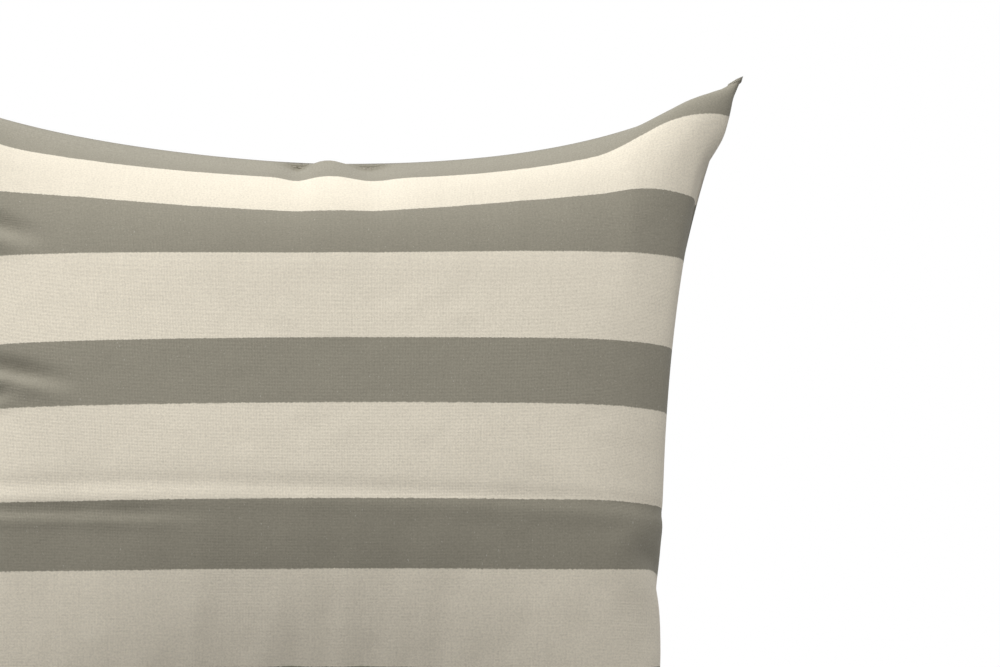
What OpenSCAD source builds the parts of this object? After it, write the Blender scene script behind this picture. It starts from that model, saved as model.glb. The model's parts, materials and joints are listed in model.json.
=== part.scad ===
// Square throw pillow: a striped cover with a zip across its back, and a filled insert.
// It stands on its lower edge. Front towards -Y, up +Z, origin under its middle, in millimetres.

/* [Cover] */
// Width between the two upper corners
cover_w = 484; // [430:2:600]
// Width between the two lower corners
base_w = 464; // [430:2:560]
// Width at the waist, where the sides pull in most
waist_w = 376; // [300:2:410]
// Height of the upper corners above the floor
cover_h = 458; // [380:2:550]
// Height of the fattest part above the floor
belly_z = 215; // [180:1:240]
// Thickness through the fattest part
cover_d = 200; // [160:2:245]
// How far the middle of the top edge dips below the upper corners
top_dip = 48; // [20:1:70]
// How far the top seam sits behind the middle plane
top_lean = 18; // [0:1:20]
// How much of the round lower edge is flattened by standing on it
base_sink = 30; // [15:1:40]
// Height of the lower corners above the floor
corner_lift = 4; // [1:1:12]
// Thickness of the cover cloth
cloth_t = 0.8; // [0.5:0.1:1.2]

/* [Seams] */
// Depth of the seam allowance inside the cover
allowance_w = 8.5; // [6:0.5:10]
// Width of a row of sewing thread
thread_w = 0.5; // [0.3:0.05:0.8]
// Height of a row of sewing thread above the cloth
thread_h = 0.3; // [0.2:0.05:0.5]

/* [Zip] */
// Height of the zip above the floor
zip_z = 74; // [60:1:110]
// Length of the zip between the ends of its chain
zip_len = 300; // [200:5:320]
// Distance from the middle of the zip to the folded edge of the cloth
zip_mouth = 5.2; // [4.8:0.1:6.5]
// Distance from the middle of the zip to the outer edge of a tape
tape_w = 14; // [11:0.5:15]
// Thickness of a tape
tape_t = 0.6; // [0.4:0.05:0.8]
// Distance from the middle of the zip to the outer side of a coil
coil_w = 3.2; // [2.6:0.1:3.6]
// Height of a coil above its tape
coil_h = 2.15; // [1.6:0.05:2.6]
// Gap between the two coils, for the post of the slider
slit_w = 1.1; // [1:0.05:1.3]
// Length of the closed-end stops
top_stop_len = 2.5; // [2:0.1:4]
// Length of the open-end stop
bottom_stop_len = 4; // [3:0.1:6]
// Distance of the sewing rows from the middle of the zip
zip_row = 8; // [7:0.1:9.5]

/* [Slider and pull] */
// Length of the slider
slider_len = 9.5; // [8:0.1:12]
// Thickness of a slider plate
plate_t = 1.1; // [0.9:0.05:1.4]
// Width of a slider side wall
wall_w = 0.8; // [0.6:0.05:1]
// Radius of the bar that the pull swings on
bar_r = 0.7; // [0.5:0.05:0.9]
// Wall of the eye of the pull
eye_wall = 1; // [0.7:0.05:1.4]
// Length of the eye along its bar
eye_len = 3.4; // [2.5:0.1:4]
// Length of the pull from its bar to its tip
pull_len = 27; // [20:0.5:34]
// Width of the pull
pull_w = 6.4; // [5:0.1:8]
// Thickness of the pull
pull_t = 1.2; // [1:0.05:1.6]

/* [Insert] */
// Gap between the edge of the cover and the edge of the insert
insert_gap = 11; // [10.5:0.5:14]
// Gap between the cover and the insert at the front and back
insert_slack = 4.5; // [4.2:0.1:7]
// Thickness of the insert casing
casing_t = 0.6; // [0.3:0.05:0.7]

/* [Labels] */
// Width of the care label
label_w = 28; // [20:1:36]
// Height of the care label
label_h = 42; // [30:1:55]
// Thickness of a label
label_t = 0.3; // [0.2:0.05:0.4]

/* [Hidden] */
$fn = 360;

beige = [0.87, 0.84, 0.77];
grey = [0.53, 0.52, 0.46];
ecru = [0.91, 0.9, 0.86];
metal = [0.72, 0.71, 0.68];

// Clearances
face_gap = 0.1;      // half of the gap between two sewn faces
cloth_gap = 0.25;    // between the cloth and the tape beneath it
run_gap = 0.3;       // between the slider or pull and what it runs on
stop_gap = 0.5;      // between the slider and a stop at the end of its travel
stitch_gap = 0.1;    // under a row of thread on curved cloth

// Exponents of the shape: how boxy the belly is, and how quickly it closes at the seams
belly_p = 3.6;
belly_e = 0.6;
crown_p = 2.6;
crown_e = 0.75;
edge_p = 2.5;
flare_p = 2.3;
foot_p = 4.5;
waist_v = -0.35;     // place of the waist, from -1 at the lower seam to 1 at the upper seam
toe_keep = 0.8;      // how much less the lower corners move up than the rest of the lower seam
toe_p = 6;

half_d = cover_d / 2;
half_waist = waist_w / 2;
end_x = zip_len / 2 + 3;      // where the mouth of the zip starts to close
shut_x = end_x + 6;           // where it is sewn shut
cone_x = end_x + 8;           // the back follows the zip up to here
blend_x = 30;                 // and returns to its own shape over this width
cone_m = 24;                  // the same, up and down from the zip
blend_m = 30;

// Half width of the cover at height v
function half_w(v) = v > waist_v
    ? half_waist + (cover_w - waist_w) / 2 * pow((v - waist_v) / (1 - waist_v), flare_p)
    : half_waist + (base_w - waist_w) / 2 * pow((waist_v - v) / (1 + waist_v), foot_p);

// Heights of the upper and lower seams at u, from -1 at the left to 1 at the right
function top_z(u) = cover_h - top_dip * (1 - pow(abs(u), edge_p));
function low_z(u) = corner_lift - (corner_lift + base_sink) * (1 - pow(abs(u), edge_p));
function height(u, v) = v > 0 ? belly_z + v * (top_z(u) - belly_z) : belly_z + v * (belly_z - low_z(u));
function v_at(u, z) = (z - belly_z) / (belly_z - low_z(u));

// Half thickness, with a rounder crown above the belly
function half_t(u, v) = half_d * pow(max(0, 1 - pow(abs(u), belly_p)), belly_e)
    * (v > 0 ? pow(max(0, 1 - pow(v, crown_p)), crown_e) : pow(max(0, 1 - pow(-v, belly_p)), belly_e));
function seam_y(v) = v > 0 ? top_lean * v * v : 0;

// A point of the plain form, side -1 at the front and 1 at the back
function form(u, v, side) = [half_w(v) * u,
    seam_y(v) + side * (face_gap + half_t(u, v)), max(0, height(u, v))];
// The same with the back following the zip
function skin(u, v, side) = let (
    p = form(u, v, side),
    m = (p[2] - zip_z) / cos(lean),
    w = side > 0 ? follow(p[0], m) : 0)
    w == 0 ? p : [p[0], p[1] * (1 - w) + w * on_cone(p[0], m), p[2]];
// The same point moved inwards: edge at the seams and the floor, deep at the front and back, then t more
function toe(x, v) = v < 0 ? toe_keep * v * v * pow(2 * abs(x) / base_w, toe_p) : 0;
function inward(p, v, edge, deep, t = 0) = [p[0] * (1 - (edge + t) / half_waist),
    seam_y(v * (1 - edge / belly_z)) + (p[1] - seam_y(v)) * (1 - (deep + t) / half_d),
    belly_z + (p[2] - belly_z) * (1 - (1 - toe(p[0], v)) * (edge + t) / belly_z)];
function inner(u, v, side, edge, deep, t = 0) = inward(skin(u, v, side), v, edge, deep, t);

// The zip lies on an arc about a vertical line, on a band that leans with the back
zip_u = end_x / half_w(v_at(0, zip_z));
zip_y = form(0, v_at(0, zip_z), 1)[1];
zip_drop = max(4, zip_y - form(zip_u, v_at(zip_u, zip_z), 1)[1]);
zip_r = (end_x * end_x + zip_drop * zip_drop) / (2 * zip_drop);
zip_cy = zip_y - zip_r;
lean = atan((form(0, v_at(0, zip_z + 8), 1)[1] - form(0, v_at(0, zip_z - 8), 1)[1]) / 16);
function on_cone(x, m) = zip_cy + sqrt(pow(zip_r + m * sin(lean), 2) - x * x);

// Layers of the zip, outwards from the outer face of the cloth
tape_top = -cloth_t - cloth_gap;
tape_low = tape_top - tape_t;
coil_top = tape_top + coil_h;
plate_low = coil_top + run_gap;
plate_top = plate_low + plate_t;
under_top = tape_low - run_gap;
under_low = under_top - plate_t;
slider_half = coil_w + run_gap + wall_w;
eye_r = bar_r + run_gap + eye_wall;
bar_n = plate_top + run_gap + eye_r;
leg_w = 1.4;
closed_s = zip_len / 2 - top_stop_len - stop_gap - slider_len / 2;
open_s = -zip_len / 2 + bottom_stop_len + stop_gap + slider_len / 2;
closed_a = closed_s / zip_r * 180 / PI;
open_a = open_s / zip_r * 180 / PI;

// Columns and rows of the grids
mid_n = 14;
side_n = 4;
shut_u = shut_x / half_w(v_at(0, zip_z));
right_u = [for (i = [0 : side_n]) shut_u + (1 - shut_u) * sin(90 * i / side_n)];
left_u = [for (i = [side_n : -1 : 0]) -right_u[i]];
cols = concat(left_u, [for (i = [0 : mid_n]) zip_u * (2 * i / mid_n - 1)], right_u);
rows_n = 22;
rows = [for (i = [0 : rows_n]) sin(90 * (2 * i / rows_n - 1))];

function clamp01(t) = min(1, max(0, t));
function follow(x, m) = clamp01((cone_x + blend_x - abs(x)) / blend_x)
    * clamp01((cone_m + blend_m - abs(m)) / blend_m);
function mouth(x, m) = abs(x) > end_x + 1 ? sign(m) * face_gap : m;

// A point of the back near the zip, m above the middle of the zip
function zip_skin(u, m) = let (
    x0 = half_w(v_at(u, zip_z)) * u,
    mm = abs(m) < tape_w ? mouth(x0, m) : m,
    z = zip_z + mm * cos(lean),
    v = v_at(u, z),
    p = skin(u, v, 1))
    [p[0], p[1], z, v];
function low_v(u, s) = -1 + (v_at(u, zip_z - tape_w * cos(lean)) + 1) * s;
function high_v(u, s) = 1 - (1 - v_at(u, zip_z + tape_w * cos(lean))) * s;

// Closed sheet between two grids with the same rows and columns, the first towards -Y
module between(near, far) {
    nr = len(near);
    nc = len(near[0]);
    n = nr * nc;
    points = concat([for (row = near) each row], [for (row = far) each row]);
    panels = [for (i = [0 : nr - 2], j = [0 : nc - 2]) let (a = i * nc + j, b = a + nc, c = b + 1, d = a + 1)
        each [[a, b, c], [a, c, d], [a + n, c + n, b + n], [a + n, d + n, c + n]]];
    low = [for (j = [0 : nc - 2]) each [[j, j + 1, j + 1 + n], [j, j + 1 + n, j + n]]];
    high = [for (j = [0 : nc - 2]) let (a = n - nc + j) each [[a, a + n, a + 1 + n], [a, a + 1 + n, a + 1]]];
    left = [for (i = [0 : nr - 2]) let (a = i * nc, b = a + nc) each [[a, a + n, b + n], [a, b + n, b]]];
    right = [for (i = [0 : nr - 2]) let (a = i * nc + nc - 1, b = a + nc)
        each [[a, b + n, a + n], [a, b, b + n]]];
    polyhedron(points, concat(panels, low, high, left, right), convexity = 6);
}

// Shell of the whole front or back between two depths
function layer(side, edge, deep, t = 0) = [for (v = rows) [for (u = cols) inner(u, v, side, edge, deep, t)]];
module shell(side, edge, deep, t) {
    if (side < 0) between(layer(side, edge, deep), layer(side, edge, deep, t));
    if (side > 0) between(layer(side, edge, deep, t), layer(side, edge, deep));
}

// Rows of the back below and above the zip, t inwards from the outer face
function xyz(p, t) = let (q = inward(p, p[3], 0, 0, t)) [q[0], q[1], q[2]];
function below_zip(t) = concat(
    [for (i = [0 : 8]) [for (u = cols) inner(u, low_v(u, 1 - cos(90 * i / 9)), 1, 0, 0, t)]],
    [for (m = [-tape_w, -zip_mouth]) [for (u = cols) xyz(zip_skin(u, m), t)]]);
function above_zip(t) = concat(
    [for (m = [zip_mouth, tape_w]) [for (u = cols) xyz(zip_skin(u, m), t)]],
    [for (i = [14 : -1 : 0]) [for (u = cols) inner(u, high_v(u, 1 - cos(90 * i / 15)), 1, 0, 0, t)]]);

// Band of the zip from m0 to m1 across, n0 to n1 out of the cloth and s0 to s1 along
module zip_band(m0, m1, n0, n1, s0, s1) {
    a0 = s0 / zip_r * 180 / PI;
    a1 = s1 / zip_r * 180 / PI;
    translate([0, zip_cy, zip_z])
        rotate([0, 0, 90 - a1])
            rotate_extrude(angle = a1 - a0)
                polygon([for (q = [[m0, n0], [m0, n1], [m1, n1], [m1, n0]])
                    [zip_r + q[0] * sin(lean) + q[1] * cos(lean), q[0] * cos(lean) - q[1] * sin(lean)]]);
}

// Places children at the slider: X along the zip, Y out of the cloth, Z up across the zip
module at_slider() {
    translate([0, zip_cy, 0])
        rotate([0, 0, -closed_a])
            translate([0, zip_r, zip_z])
                rotate([-lean, 0, 0])
                    children();
}

// Flat strip along a seam, from edge0 to edge1 inwards and y0 to y1 off the seam plane
reach = 0.76;
function seam_point(place, k, edge, y) = let (
    u = place == "left" ? -1 : place == "right" ? 1 : k,
    v = place == "top" ? 1 : place == "bottom" ? -1 : k,
    p = inward([half_w(v) * u, seam_y(v), max(0, height(u, v))], v, edge, 0)) [p[0], p[1] + y, p[2]];
module seam_strip(place, edge0, edge1, y0, y1) {
    ks = [for (i = [0 : 14]) reach * (i / 7 - 1)];
    edges = place == "top" || place == "right" ? [edge1, edge0] : [edge0, edge1];
    upright = place == "left" || place == "right";
    near = upright ? [for (k = ks) [for (e = edges) seam_point(place, k, e, y0)]]
        : [for (e = edges) [for (k = ks) seam_point(place, k, e, y0)]];
    far = upright ? [for (k = ks) [for (e = edges) seam_point(place, k, e, y1)]]
        : [for (e = edges) [for (k = ks) seam_point(place, k, e, y1)]];
    between(near, far);
}

// Small sheet at the back, between two depths
module patch(u0, u1, z0, z1, edge, deep, t) {
    us = [for (i = [0 : 4]) u0 + (u1 - u0) * i / 4];
    zs = [for (i = [0 : 4]) z0 + (z1 - z0) * i / 4];
    near = [for (z = zs) [for (u = us) inner(u, v_at(u, z), 1, edge + t, deep + t)]];
    far = [for (z = zs) [for (u = us) inner(u, v_at(u, z), 1, edge, deep)]];
    between(near, far);
}

module cover_front() {
    color(beige) shell(-1, 0, 0, cloth_t);
}

module cover_back_upper() {
    color(beige) between(above_zip(cloth_t), above_zip(0));
}

module cover_back_lower() {
    color(grey) between(below_zip(cloth_t), below_zip(0));
}

// The turned-in edges of both panels, trimmed short of the corners
module seam_allowance() {
    start = cloth_t + 0.9;
    color(beige)
        for (place = ["left", "right", "top", "bottom"])
            seam_strip(place, start, start + allowance_w, -cloth_t, cloth_t);
}

// Rows of thread on both faces of the seam allowance
module seam_stitching() {
    start = cloth_t + 1.9;
    color(ecru)
        for (place = ["left", "right", "top", "bottom"], side = [-1, 1])
            seam_strip(place, start, start + thread_w, side * (cloth_t + 0.02) - (side < 0 ? thread_h : 0),
                side * (cloth_t + 0.02) + (side > 0 ? thread_h : 0));
}

module zip_tape(side) {
    m0 = slit_w / 2 + 0.3;
    color(grey)
        zip_band(side > 0 ? m0 : -tape_w + 0.6, side > 0 ? tape_w - 0.6 : -m0, tape_low, tape_top,
            -zip_len / 2 - 3, zip_len / 2 + 3);
}

module zip_tape_upper() {
    zip_tape(1);
}

module zip_tape_lower() {
    zip_tape(-1);
}

module zip_coil(side) {
    m0 = slit_w / 2;
    color(grey)
        zip_band(side > 0 ? m0 : -coil_w, side > 0 ? coil_w : -m0, tape_top + 0.02, coil_top,
            -zip_len / 2 + bottom_stop_len + 0.1, zip_len / 2 - top_stop_len - 0.1);
}

module zip_coil_upper() {
    zip_coil(1);
}

module zip_coil_lower() {
    zip_coil(-1);
}

module zip_top_stops() {
    color(metal) {
        zip_band(slit_w / 2, coil_w + 0.2, tape_top + 0.02, coil_top + 0.2,
            zip_len / 2 - top_stop_len, zip_len / 2);
        zip_band(-coil_w - 0.2, -slit_w / 2, tape_top + 0.02, coil_top + 0.2,
            zip_len / 2 - top_stop_len, zip_len / 2);
    }
}

module zip_bottom_stop() {
    color(metal)
        zip_band(-coil_w - 0.2, coil_w + 0.2, tape_top + 0.02, coil_top + 0.2,
            -zip_len / 2, -zip_len / 2 + bottom_stop_len);
}

// A row of thread along each side of the zip, through cloth and tape
module zip_stitching() {
    color(ecru)
        for (side = [-1, 1])
            zip_band(side * zip_row - thread_w / 2, side * zip_row + thread_w / 2, stitch_gap,
                stitch_gap + thread_h, -end_x, end_x);
}

// Close stitching across both ends of the mouth
module zip_bartacks() {
    color(ecru)
        for (side = [-1, 1])
            zip_band(-zip_row + 1, zip_row - 1, stitch_gap, stitch_gap + 0.5,
                side * (end_x - 1) - 0.7, side * (end_x - 1) + 0.7);
}

// Slider: two plates joined by a post between the coils, side walls, and a bridge with its bar
module slider_body() {
    color(metal) {
        for (low = [plate_low, under_low])
            zip_band(-slider_half, slider_half, low, low + plate_t,
                closed_s - slider_len / 2, closed_s + slider_len / 2);
        at_slider() {
            for (side = [-1, 1])
                translate([-slider_len / 2, tape_top + run_gap,
                    side * (slider_half - wall_w / 2) - wall_w / 2])
                    cube([slider_len, plate_low - tape_top - run_gap + 0.1, wall_w]);
            translate([slider_len / 2 - 3, under_top - 0.1, -slit_w / 2 + run_gap])
                cube([2.2, plate_low - under_top + 0.2, slit_w - 2 * run_gap]);
            for (side = [-1, 1])
                translate([side * (eye_len / 2 + run_gap + leg_w / 2) - leg_w / 2,
                    plate_top - 0.1, -bar_r - 0.3])
                    cube([leg_w, bar_n + bar_r - plate_top + 0.3, 2 * bar_r + 0.6]);
            translate([-eye_len / 2 - run_gap - 0.1, bar_n, 0])
                rotate([0, 90, 0])
                    cylinder(r = bar_r, h = eye_len + 2 * run_gap + 0.2);
        }
    }
}

// Pull: an eye round the bar and a flat tab that hangs straight down, with a small hole near its tip
module pull_tab() {
    tip_r = pull_w / 2;
    color(metal)
        at_slider()
            translate([0, bar_n, 0])
                rotate([lean, 0, 0])
                    difference() {
                        union() {
                            rotate([0, 90, 0])
                                cylinder(r = eye_r, h = eye_len, center = true);
                            translate([-eye_len / 2, -pull_t / 2, -eye_r - 3])
                                cube([eye_len, pull_t, eye_r + 3 - bar_r - run_gap - 0.2]);
                            translate([-pull_w / 2, -pull_t / 2, -pull_len + tip_r])
                                cube([pull_w, pull_t, pull_len - tip_r - eye_r - 1]);
                            translate([0, pull_t / 2, -pull_len + tip_r])
                                rotate([90, 0, 0])
                                    cylinder(r = tip_r, h = pull_t);
                        }
                        rotate([0, 90, 0])
                            cylinder(r = bar_r + run_gap, h = eye_len + 1, center = true);
                        translate([0, pull_t, -pull_len + tip_r])
                            rotate([90, 0, 0])
                                cylinder(r = 1.3, h = 2 * pull_t);
                    }
}

module insert_front() {
    color(ecru) shell(-1, insert_gap, insert_slack, casing_t);
}

module insert_back() {
    color(ecru) shell(1, insert_gap, insert_slack, casing_t);
}

// Thread that binds the edges of the insert casing
module insert_overlock() {
    color(ecru)
        for (place = ["left", "right", "top", "bottom"])
            seam_strip(place, insert_gap - thread_w - run_gap, insert_gap - run_gap, -casing_t, casing_t);
}

module insert_fill() {
    edge = insert_gap + casing_t + 0.3;
    deep = insert_slack + casing_t + 0.3;
    color([0.97, 0.97, 0.95]) between(layer(-1, edge, deep), layer(1, edge, deep));
}

// Blank labels: one inside the cover by its left side seam, one on the insert
module care_label() {
    w = label_w / half_waist;
    color([0.97, 0.97, 0.95])
        patch(-0.975, -0.975 + w, belly_z - label_h, belly_z, cloth_t + 1.2, cloth_t + 1.2, label_t);
}

module insert_label() {
    w = label_w / half_waist;
    color([0.97, 0.97, 0.95])
        patch(0.95 - w, 0.95, belly_z - label_h / 2, belly_z + label_h / 2, insert_gap - label_t - 0.3,
            insert_slack - label_t - 0.3, label_t);
}

cover_front();
cover_back_upper();
cover_back_lower();
seam_allowance();
seam_stitching();
zip_tape_upper();
zip_tape_lower();
zip_coil_upper();
zip_coil_lower();
zip_top_stops();
zip_bottom_stop();
zip_stitching();
zip_bartacks();
slider_body();
pull_tab();
insert_front();
insert_back();
insert_overlock();
insert_fill();
care_label();
insert_label();
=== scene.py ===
import json
import math

import bmesh
import bpy
import numpy as np
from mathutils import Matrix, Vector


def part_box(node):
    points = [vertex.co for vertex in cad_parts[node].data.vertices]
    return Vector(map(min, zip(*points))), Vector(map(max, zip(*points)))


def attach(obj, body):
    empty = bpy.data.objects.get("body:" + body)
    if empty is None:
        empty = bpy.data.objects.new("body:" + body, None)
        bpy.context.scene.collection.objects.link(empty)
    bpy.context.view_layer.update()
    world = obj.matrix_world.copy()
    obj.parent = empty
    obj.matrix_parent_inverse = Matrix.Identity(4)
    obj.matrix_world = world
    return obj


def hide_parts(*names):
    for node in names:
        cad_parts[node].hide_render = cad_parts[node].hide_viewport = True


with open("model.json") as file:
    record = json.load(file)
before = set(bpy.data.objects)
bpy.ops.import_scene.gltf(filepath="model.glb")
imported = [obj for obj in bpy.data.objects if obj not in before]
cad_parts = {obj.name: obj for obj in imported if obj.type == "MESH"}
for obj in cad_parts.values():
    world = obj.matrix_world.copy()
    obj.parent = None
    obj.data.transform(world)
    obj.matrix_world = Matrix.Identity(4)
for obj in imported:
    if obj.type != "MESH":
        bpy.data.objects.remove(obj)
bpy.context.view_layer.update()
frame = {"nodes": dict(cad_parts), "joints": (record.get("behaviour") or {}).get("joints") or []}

# the cover: its cloth squares, its outline when filled, and how it is blown up; metres throughout
cover = dict(
    side=0.5, cells=88,
    topWidth=0.4862, baseWidth=0.464, waistWidth=0.378, height=0.4623, belly=0.215,
    topDip=0.0526, topSlant=-0.0059, topDroop=-0.025, topPower=1.82,
    lean=0.018, sink=0.03, cornerLift=0.004, waistAt=-0.35, flare=2.83, foot=4.5, edgePower=2.5,
    cloth=0.0008, frames=34, pressure=10, seed=4)
# the woven stripes: where the first whole grey one starts below the top seam, and how they bend
stripes = dict(
    first=0.0785, repeat=0.09, grey=0.0375,
    drop=0.0053, spread=0.05, skew=0.0048, bow=0.004, bowTop=0.004, arch=0.010)
# depths of the folds, and how the cloth leaves the top seam: how far down, and how steeply
folds = dict(notch=0.0045, ear=0.0025, crease=0.0007, pinch=0.0040)
drawn = dict(reach=0.135, front=math.radians(24), back=math.radians(30))
# the zip in the flat back: its height, half its length, and half the width of cloth that it holds flat
zipPlace = dict(height=0.1354, half=0.154, band=0.0156, lean=math.radians(12.574), row=0.00825)

nodes = frame["nodes"]


# small helpers
def smooth(a, b, x):
    # 0 below a, 1 above b, and 3t^2 - 2t^3 between
    t = np.clip((x - a) / (b - a), 0, 1)
    return t * t * (3 - 2 * t)


def bump(x, middle, width):
    # exp(-((x - middle) / width)^2)
    return np.exp(-((x - middle) / width) ** 2)


def unit(a):
    return a / np.maximum(np.linalg.norm(a, axis=-1, keepdims=True), 1e-9)


def quads(number, flip=False):
    a, b, c, d = number[:-1, :-1], number[:-1, 1:], number[1:, 1:], number[1:, :-1]
    q = np.stack([a, d, c, b] if flip else [a, b, c, d], -1)
    return q.reshape(-1, 4)


def newPiece(name, points, faces, uv=None, material=None, body="pillow", stands=(), shade=True):
    # a mesh from arrays, with one uv value per point, on its body
    mesh = bpy.data.meshes.new(name)
    mesh.from_pydata(np.asarray(points, float).tolist(), [], [list(map(int, f)) for f in faces])
    mesh.update()
    if uv is not None:
        loops = np.empty(len(mesh.loops), int)
        mesh.loops.foreach_get("vertex_index", loops)
        layer = mesh.uv_layers.new(name="cloth")
        layer.data.foreach_set("uv", np.asarray(uv, float)[loops].ravel())
    mesh.polygons.foreach_set("use_smooth", np.full(len(mesh.polygons), shade))
    piece = bpy.data.objects.new(name, mesh)
    bpy.context.scene.collection.objects.link(piece)
    if material:
        mesh.materials.append(material)
    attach(piece, body)
    if stands:
        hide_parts(*stands)
    return piece


def thicken(piece, depth):
    # a wall inwards from the outer face
    wall = piece.modifiers.new("wall", "SOLIDIFY")
    wall.thickness = depth
    wall.offset = -1


# the outline of the filled cover
n = cover["cells"]
cell = cover["side"] / n


def halfWidth(v):
    # waist, plus a power of the way up to the top corners and down to the lower ones
    waist, at = cover["waistWidth"] / 2, cover["waistAt"]
    up = np.clip((v - at) / (1 - at), 0, 1) ** cover["flare"]
    down = np.clip((at - v) / (1 + at), 0, 1) ** cover["foot"]
    return waist + (cover["topWidth"] / 2 - waist) * up + (cover["baseWidth"] / 2 - waist) * down


def seamHeight(u, v):
    # straight between the belly and the dipped top seam, and between the belly and the sunk lower one
    inner = 1 - u ** 2
    top = cover["height"] - cover["topDip"] * (1 - np.abs(u) ** cover["topPower"])
    # sewn and filled a little unevenly
    top = top + cover["topSlant"] * u * inner + cover["topDroop"] * u ** 2 * inner
    low = cover["cornerLift"] - (cover["cornerLift"] + cover["sink"]) * (1 - np.abs(u) ** cover["edgePower"])
    above, below = cover["belly"] + v * (top - cover["belly"]), cover["belly"] + v * (cover["belly"] - low)
    return np.where(v > 0, above, below)


def seamCurve(u, v):
    u, v = np.broadcast_arrays(u, v)
    y = cover["lean"] * np.clip(v, 0, 1) ** 2
    return np.stack([halfWidth(v) * u, y, np.maximum(0, seamHeight(u, v))], -1)


def evenly(points, count):
    # the same curve with its points an equal distance apart along it
    run = np.r_[0, np.cumsum(np.linalg.norm(np.diff(points, axis=0), axis=1))]
    at = np.linspace(0, run[-1], count + 1)
    return np.stack([np.interp(at, run, points[:, i]) for i in range(3)], 1)


def sideSeam(u):
    # each half evenly spaced, so that the middle of the cloth is at the belly
    low, high = np.linspace(-1, 0, 400), np.linspace(0, 1, 400)
    return np.concatenate([evenly(seamCurve(u, low), n // 2), evenly(seamCurve(u, high), n // 2)[1:]])


# the zip lies on an arc about an upright line, on a band that leans with the back
zipLean = zipPlace["lean"]
zipJoint = next(j for j in frame["joints"] if j["name"] == "slider_travel")
zipMiddle = np.array(zipJoint["pos_m"], float)
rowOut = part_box("zip_stitching")[1][1]
rowAway = zipPlace["row"] * math.sin(zipLean) + 0.5 * cover["cloth"] * math.cos(zipLean)
zipArc = rowOut - zipMiddle[1] - rowAway


def onZip(s, m, out=0.0):
    # s along the chain, m up across it, out from the cloth
    radius = zipArc + m * math.sin(zipLean) + out * math.cos(zipLean)
    angle = s / zipArc
    x, y = radius * np.sin(angle), zipMiddle[1] + radius * np.cos(angle)
    z = zipMiddle[2] + m * math.cos(zipLean) - out * math.sin(zipLean)
    return np.stack(np.broadcast_arrays(x, y, z), -1)


# the cover, blown up from two flat squares
def blowUp():
    # two flat squares joined at their edges; the edges travel to the seam's place while the inside swells
    k = np.linspace(-1, 1, n + 1)
    flatX, flatZ = np.meshgrid(k * cover["side"] / 2, k * cover["side"] / 2)
    fine = np.linspace(-1, 1, 801)
    front = np.zeros((n + 1, n + 1, 3))
    front[:, 0], front[:, -1] = sideSeam(-1.0), sideSeam(1.0)
    front[0], front[-1] = evenly(seamCurve(fine, -1.0), n), evenly(seamCurve(fine, 1.0), n)
    back = front.copy()
    edge = np.zeros((n + 1, n + 1), bool)
    edge[0] = edge[-1] = edge[:, 0] = edge[:, -1] = True
    held = edge.copy()
    inside = np.abs(flatX[0]) <= zipPlace["half"]
    for r in range(zipRow - bandRows, zipRow + bandRows + 1):
        back[r, inside] = onZip(flatX[0][inside], (r - zipRow) * cell)
        held[r, inside] = True
    count = (n + 1) ** 2
    number = np.arange(count).reshape(n + 1, n + 1)
    inner = ~edge
    backNumber = number.copy()
    backNumber[inner] = count + np.arange(inner.sum())
    pinned = np.r_[number[edge], backNumber[held]]

    rng = np.random.default_rng(cover["seed"])
    swell = 0.003 * (1 - (2 * flatX / cover["side"]) ** 2) * (1 - (2 * flatZ / cover["side"]) ** 2)
    flat = np.stack([flatX, 0 * flatX, flatZ + cover["belly"]], -1)
    outwardBy = swell[..., None] * [0, 1, 0]
    start = np.concatenate([(flat - outwardBy).reshape(-1, 3), (flat + outwardBy)[inner]])
    ripple = rng.normal(0, 0.0004, len(start))
    ripple[pinned] = 0
    start[:, 1] += ripple
    gathered = np.concatenate([front.reshape(-1, 3), back[inner]])

    mesh = bpy.data.meshes.new("blank")
    mesh.from_pydata(start.tolist(), [], np.concatenate([quads(number), quads(backNumber, True)]).tolist())
    blank = bpy.data.objects.new("blank", mesh)
    bpy.context.scene.collection.objects.link(blank)
    blank.shape_key_add(name="Basis")
    key = blank.shape_key_add(name="gathered")
    key.data.foreach_set("co", gathered.ravel())
    for value, at in ((0, 1), (1, 12)):          # the edges arrive by frame 12
        key.value = value
        key.keyframe_insert("value", frame=at)
    blank.vertex_groups.new(name="pinned").add([int(i) for i in pinned], 1.0, "REPLACE")
    cloth = blank.modifiers.new("cloth", "CLOTH")
    cotton = cloth.settings
    cotton.vertex_group_mass = "pinned"
    cotton.quality = 6
    cotton.mass = 0.3 * (56 / n) ** 2          # the same cloth at any number of cells
    cotton.tension_stiffness = 80
    cotton.compression_stiffness = 0.5
    cotton.shear_stiffness = 5
    cotton.bending_stiffness = 0.5
    cotton.tension_damping = cotton.compression_damping = cotton.shear_damping = 5
    cotton.air_damping = 1
    cotton.use_pressure = True
    cotton.uniform_pressure_force = cover["pressure"]
    cotton.effector_weights.gravity = 0
    cloth.collision_settings.use_collision = False
    cloth.point_cache.frame_end = cover["frames"] + 2
    scene = bpy.context.scene
    scene.frame_end = cover["frames"] + 2
    for f in range(1, cover["frames"] + 1):
        scene.frame_set(f)
    done = blank.evaluated_get(bpy.context.evaluated_depsgraph_get())
    co = np.empty(len(start) * 3)
    done.data.vertices.foreach_get("co", co)
    co = co.reshape(-1, 3)
    action = mesh.shape_keys.animation_data.action
    bpy.data.objects.remove(blank)
    bpy.data.meshes.remove(mesh)
    bpy.data.actions.remove(action)
    scene.frame_set(1)
    return co[number], co[backNumber]


def between(a):
    # doubles the rows: new ones by a cubic through their four neighbours
    before = np.concatenate([2 * a[:1] - a[1:2], a[:-2]])
    after = np.concatenate([a[2:], 2 * a[-1:] - a[-2:-1]])
    middle = (9 * (a[:-1] + a[1:]) - before - after) / 16
    out = np.empty((2 * len(a) - 1,) + a.shape[1:])
    out[::2], out[1::2] = a, middle
    return out


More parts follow.
